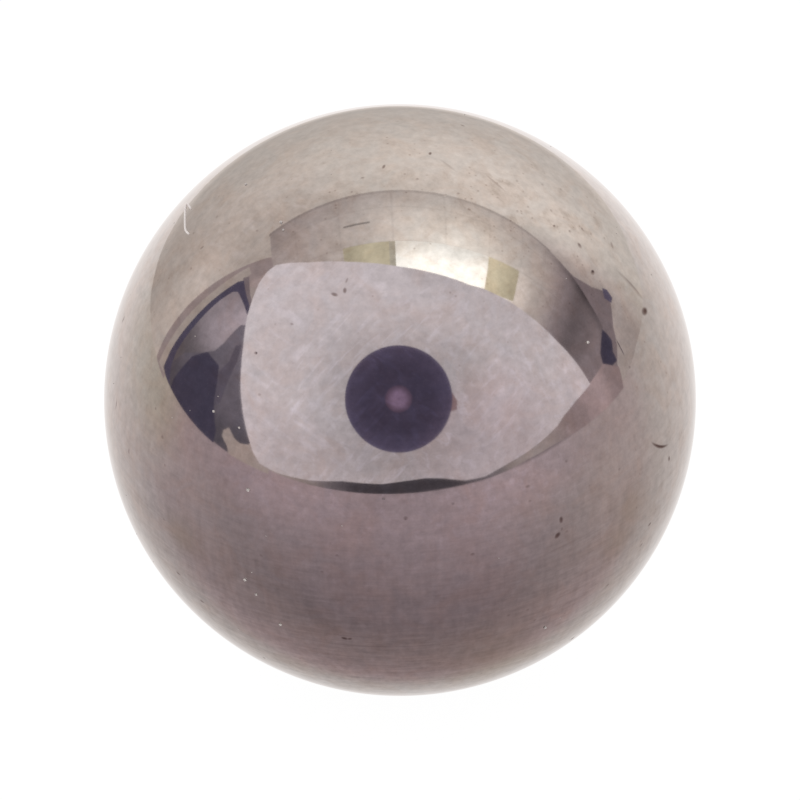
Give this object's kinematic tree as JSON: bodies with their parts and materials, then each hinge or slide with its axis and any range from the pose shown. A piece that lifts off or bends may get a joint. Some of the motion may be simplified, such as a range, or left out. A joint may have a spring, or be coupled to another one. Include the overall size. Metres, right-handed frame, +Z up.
{
  "type": "steel ball",
  "caption": "Solid polished steel sphere that rolls between races, seals on a seat or serves as a weight.",
  "frame": {"origin": "centre of the ball", "axes": "+Z up through the highest point, +Y away from the viewer of the front, +X to the right; every axis through the centre is alike"},
  "size_m": [0.019, 0.019, 0.019],
  "materials": {
    "polished_steel": "lapped and polished to a mirror, with light stains, hairline scratches and small wear pits"
  },
  "bodies": {
    "root": {"ball": "polished_steel"}
  },
  "joints": []
}
